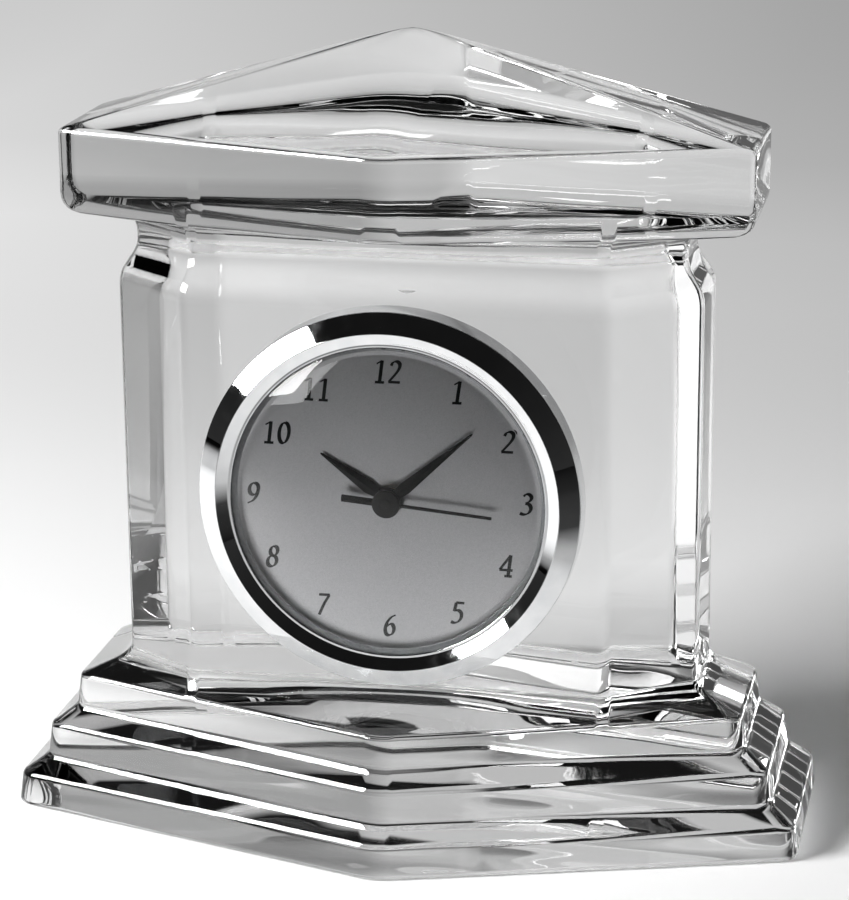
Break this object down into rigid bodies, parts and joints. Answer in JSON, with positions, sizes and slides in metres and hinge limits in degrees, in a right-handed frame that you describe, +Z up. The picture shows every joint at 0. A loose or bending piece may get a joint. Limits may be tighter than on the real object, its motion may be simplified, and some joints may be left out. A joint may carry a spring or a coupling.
{
  "type": "quartz clock",
  "caption": "Clear cast crystal table clock with a stepped base and a gabled roof slab, holding a round pull-out quartz insert with a chrome bezel, a silver numbered dial and black hands.",
  "frame": {"origin": "middle of the base's underside", "axes": "+X to the right of the dial as a reader sees it, +Y away from the reader, +Z up"},
  "size_m": [0.1514, 0.0882, 0.1501],
  "materials": {
    "crystal": "polished clear cast crystal",
    "lens_glass": "polished clear glass",
    "chrome": "polished chrome plate",
    "dial_silver": "satin silver paint",
    "black_paint": "satin black",
    "black_plastic": "moulded, fine texture",
    "rubber": "matt black rubber",
    "grey_plastic": "moulded grey",
    "white_plastic": "natural acetal",
    "brass": "turned brass",
    "steel": "bright steel",
    "magnet": "dark sintered magnet",
    "copper": "enamelled copper wire",
    "board_green": "green solder mask"
  },
  "bodies": {
    "crystal": {"crystal_body": "crystal"},
    "insert": {"bezel": "chrome", "lens": "lens_glass", "lens_gasket": "grey_plastic", "dial": "dial_silver", "case_can": "black_plastic", "grip_ring": "rubber", "battery_cell": "steel", "battery_contact_positive": "steel", "battery_contact_negative": "steel", "main_plate": "grey_plastic", "rear_plate": "grey_plastic", "plate_screw_1": "steel", "plate_screw_2": "steel", "plate_screw_3": "steel", "case_screw_1": "steel", "case_screw_2": "steel", "case_screw_3": "steel", "coil_screw_1": "steel", "coil_screw_2": "steel", "board_screw_1": "steel", "board_screw_2": "steel", "stator": "steel", "coil_core": "steel", "coil_bobbin": "white_plastic", "coil_winding": "copper", "circuit_board": "board_green", "chip": "black_plastic", "quartz_resonator": "steel"},
    "cell_cap": {"battery_cap": "black_plastic"},
    "motor_rotor": {"rotor": "magnet"},
    "intermediate": {"intermediate_wheel": "white_plastic"},
    "seconds": {"second_wheel": "white_plastic", "second_hand": "black_paint"},
    "third": {"third_wheel": "white_plastic"},
    "minutes": {"minute_wheel": "brass", "minute_hand": "black_paint"},
    "motion": {"motion_wheel": "white_plastic"},
    "hours": {"hour_wheel": "brass", "hour_hand": "black_paint"},
    "setting": {"set_stem": "white_plastic", "set_knob": "black_plastic"}
  },
  "joints": [
    {"name": "insert_slide", "type": "slide", "parent": "crystal", "child": "insert", "axis": [0, -1, 0], "range_m": [0, 0.03]},
    {"name": "seconds_turn", "type": "hinge", "parent": "insert", "child": "seconds", "pos_m": [0, -0.021, 0.0673], "axis": [0, 1, 0], "continuous": true},
    {"name": "minutes_turn", "type": "hinge", "parent": "insert", "child": "minutes", "pos_m": [0, -0.021, 0.0673], "axis": [0, 1, 0], "continuous": true},
    {"name": "hours_turn", "type": "hinge", "parent": "insert", "child": "hours", "pos_m": [0, -0.021, 0.0673], "axis": [0, 1, 0], "continuous": true},
    {"name": "rotor_turn", "type": "hinge", "parent": "insert", "child": "motor_rotor", "pos_m": [-0.01336, -0.021, 0.08203], "axis": [0, 1, 0], "continuous": true},
    {"name": "intermediate_turn", "type": "hinge", "parent": "insert", "child": "intermediate", "pos_m": [-0.01013, -0.021, 0.07315], "axis": [0, 1, 0], "continuous": true},
    {"name": "third_turn", "type": "hinge", "parent": "insert", "child": "third", "pos_m": [0.01102, -0.021, 0.07131], "axis": [0, 1, 0], "continuous": true},
    {"name": "motion_turn", "type": "hinge", "parent": "insert", "child": "motion", "pos_m": [0, -0.021, 0.0573], "axis": [0, 1, 0], "continuous": true},
    {"name": "set_turn", "type": "hinge", "parent": "insert", "child": "setting", "pos_m": [0, -0.021, 0.04605], "axis": [0, 1, 0], "continuous": true},
    {"name": "cell_cap_turn", "type": "hinge", "parent": "insert", "child": "cell_cap", "pos_m": [-0.0143, -0.003, 0.0547], "axis": [0, 1, 0], "range_deg": [0, 60]}
  ],
  "couplings": [
    {"joint": "hours_turn", "follows": "minutes_turn", "ratio": 0.083333},
    {"joint": "motion_turn", "follows": "minutes_turn", "ratio": -0.33333},
    {"joint": "set_turn", "follows": "minutes_turn", "ratio": 0.66667},
    {"joint": "third_turn", "follows": "minutes_turn", "ratio": -8},
    {"joint": "seconds_turn", "follows": "minutes_turn", "ratio": 60},
    {"joint": "intermediate_turn", "follows": "minutes_turn", "ratio": -300},
    {"joint": "rotor_turn", "follows": "minutes_turn", "ratio": 1800}
  ]
}
